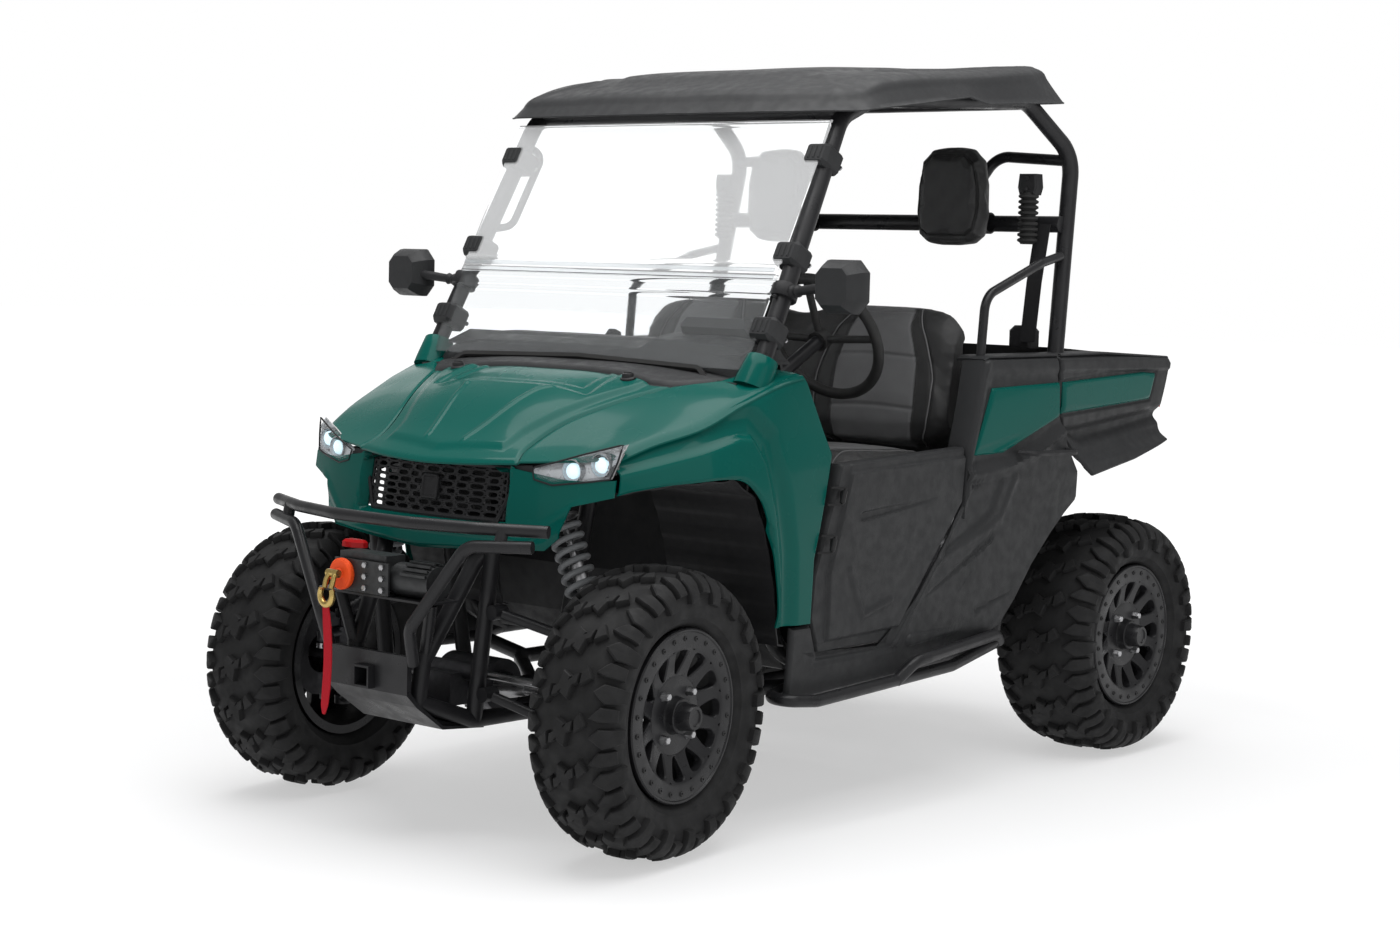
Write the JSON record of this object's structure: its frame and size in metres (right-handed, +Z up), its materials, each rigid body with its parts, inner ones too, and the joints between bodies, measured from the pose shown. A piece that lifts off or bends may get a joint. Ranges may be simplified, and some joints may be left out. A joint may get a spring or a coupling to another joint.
{
  "type": "side by side utility vehicle",
  "caption": "Compact open cab utility vehicle with bench seat, half doors, moulded roof, clear windscreen, bull bar with winch, and a tipping cargo bed.",
  "frame": {"origin": "centre of the vehicle's bounding box on the ground", "axes": "+Z up, +X to the driver's side (vehicle's left), +Y to the rear; the front faces -Y"},
  "size_m": [1.5516, 2.624, 1.8697],
  "materials": {
    "green_paint": "gloss",
    "grey_plastic": "grained matte",
    "black_plastic": "matte",
    "black_frame": "satin",
    "black_tube": "satin powder coat",
    "black_metal": "satin",
    "black_mesh": "satin",
    "black_rim": "satin",
    "lamp": "clear lens",
    "red_lens": "clear red",
    "seat_vinyl": "grained vinyl",
    "clear_pane": "clear",
    "cast_metal": "cast",
    "steel": "satin",
    "grip_rubber": "matte",
    "spring_grey": "satin",
    "winch_metal": "satin",
    "gold_steel": "zinc plated",
    "red_web": "webbing",
    "belt_web": "webbing",
    "tyre": "rubber"
  },
  "bodies": {
    "root": {"chassis_frame": "black_frame", "cowl": "grey_plastic", "dashboard": "grey_plastic", "engine_block": "cast_metal", "final_drives": "cast_metal", "floor_tub": "black_plastic", "front_bumper": "black_tube", "front_fascia": "green_paint", "front_fenders": "green_paint", "grille": "black_mesh", "half_shafts": "steel", "headlamps": "lamp", "headrests": "seat_vinyl", "mirrors": "black_plastic", "muffler": "steel", "pillar_clamps": "black_plastic", "pull_strap": "red_web", "quarter_inserts": "green_paint", "quarter_panels": "grey_plastic", "radiator": "black_metal", "rear_carriers": "cast_metal", "receiver_front": "black_frame", "receiver_rear": "black_frame", "roll_cage": "black_tube", "roof": "grey_plastic", "seat_back": "seat_vinyl", "seat_base": "black_plastic", "seat_belts": "belt_web", "seat_cushion": "seat_vinyl", "shock_dampers": "steel", "shock_springs": "spring_grey", "side_steps": "black_tube", "steering_column": "black_frame", "steering_rack": "cast_metal", "suspension_arms": "black_frame", "wheel_liners": "black_plastic", "winch": "winch_metal", "winch_hook": "gold_steel", "windscreen": "clear_pane"},
    "wheel_front_left": {"tyre_front_left": "tyre", "rim_front_left": "black_rim"},
    "wheel_front_right": {"tyre_front_right": "tyre", "rim_front_right": "black_rim"},
    "wheel_rear_left": {"tyre_rear_left": "tyre", "rim_rear_left": "black_rim"},
    "wheel_rear_right": {"tyre_rear_right": "tyre", "rim_rear_right": "black_rim"},
    "knuckle_left": {"knuckle_left": "cast_metal"},
    "knuckle_right": {"knuckle_right": "cast_metal"},
    "tie_rods": {"tie_rods": "steel"},
    "steering_wheel": {"steering_wheel": "grip_rubber"},
    "hood": {"hood": "green_paint"},
    "door_left": {"door_left": "grey_plastic"},
    "door_right": {"door_right": "grey_plastic"},
    "bed": {"bed_tub": "black_metal", "bed_sides": "grey_plastic", "bed_inserts": "green_paint", "tail_lamps": "red_lens"},
    "tailgate": {"tailgate": "black_metal"}
  },
  "joints": [
    {"name": "steer_left", "type": "hinge", "parent": "root", "child": "knuckle_left", "pos_m": [0.475, -0.903, 0.33], "axis": [0, 0, 1], "range_deg": [-33.45, 22.55]},
    {"name": "steer_right", "type": "hinge", "parent": "root", "child": "knuckle_right", "pos_m": [-0.475, -0.903, 0.33], "axis": [0, 0, 1], "range_deg": [-33.46, 22.56]},
    {"name": "rack_slide", "type": "slide", "parent": "root", "child": "tie_rods", "axis": [1, 0, 0], "range_m": [-0.05556, 0.03749]},
    {"name": "steering_wheel_turn", "type": "hinge", "parent": "root", "child": "steering_wheel", "pos_m": [0.32984, -0.03025, 1.15005], "axis": [0, 0.882, 0.4712], "range_deg": [-401.5, 270.7]},
    {"name": "wheel_front_left_spin", "type": "hinge", "parent": "knuckle_left", "child": "wheel_front_left", "pos_m": [0.53672, -0.89711, 0.33], "axis": [0.9955, 0.095, 0], "continuous": true},
    {"name": "wheel_front_right_spin", "type": "hinge", "parent": "knuckle_right", "child": "wheel_front_right", "pos_m": [-0.53672, -0.90889, 0.33], "axis": [0.9955, 0.095, 0], "continuous": true},
    {"name": "wheel_rear_left_spin", "type": "hinge", "parent": "root", "child": "wheel_rear_left", "pos_m": [0.553, 0.982, 0.33], "axis": [1, 0, 0], "continuous": true},
    {"name": "wheel_rear_right_spin", "type": "hinge", "parent": "root", "child": "wheel_rear_right", "pos_m": [-0.553, 0.982, 0.33], "axis": [1, 0, 0], "continuous": true},
    {"name": "hood_hinge", "type": "hinge", "parent": "root", "child": "hood", "pos_m": [0, -1.07454, 0.85833], "axis": [1, 0, 0], "range_deg": [0, 50]},
    {"name": "door_left_hinge", "type": "hinge", "parent": "root", "child": "door_left", "pos_m": [0.638, -0.35258, 0.73398], "axis": [0, -0.2939, -0.9558], "range_deg": [0, 70]},
    {"name": "door_right_hinge", "type": "hinge", "parent": "root", "child": "door_right", "pos_m": [-0.638, -0.35258, 0.73398], "axis": [0, 0.2939, 0.9558], "range_deg": [0, 70]},
    {"name": "bed_tilt", "type": "hinge", "parent": "root", "child": "bed", "pos_m": [0, 1.09133, 0.81158], "axis": [-1, 0, 0], "range_deg": [0, 45]},
    {"name": "tailgate_hinge", "type": "hinge", "parent": "bed", "child": "tailgate", "pos_m": [0, 1.13091, 0.84711], "axis": [-1, 0, 0], "range_deg": [0, 90]}
  ],
  "couplings": [
    {"joint": "steer_right", "follows": "steer_left", "ratio": 1},
    {"joint": "rack_slide", "follows": "steer_left", "m_per_rad": 0.095},
    {"joint": "steering_wheel_turn", "follows": "steer_left", "ratio": 12}
  ]
}
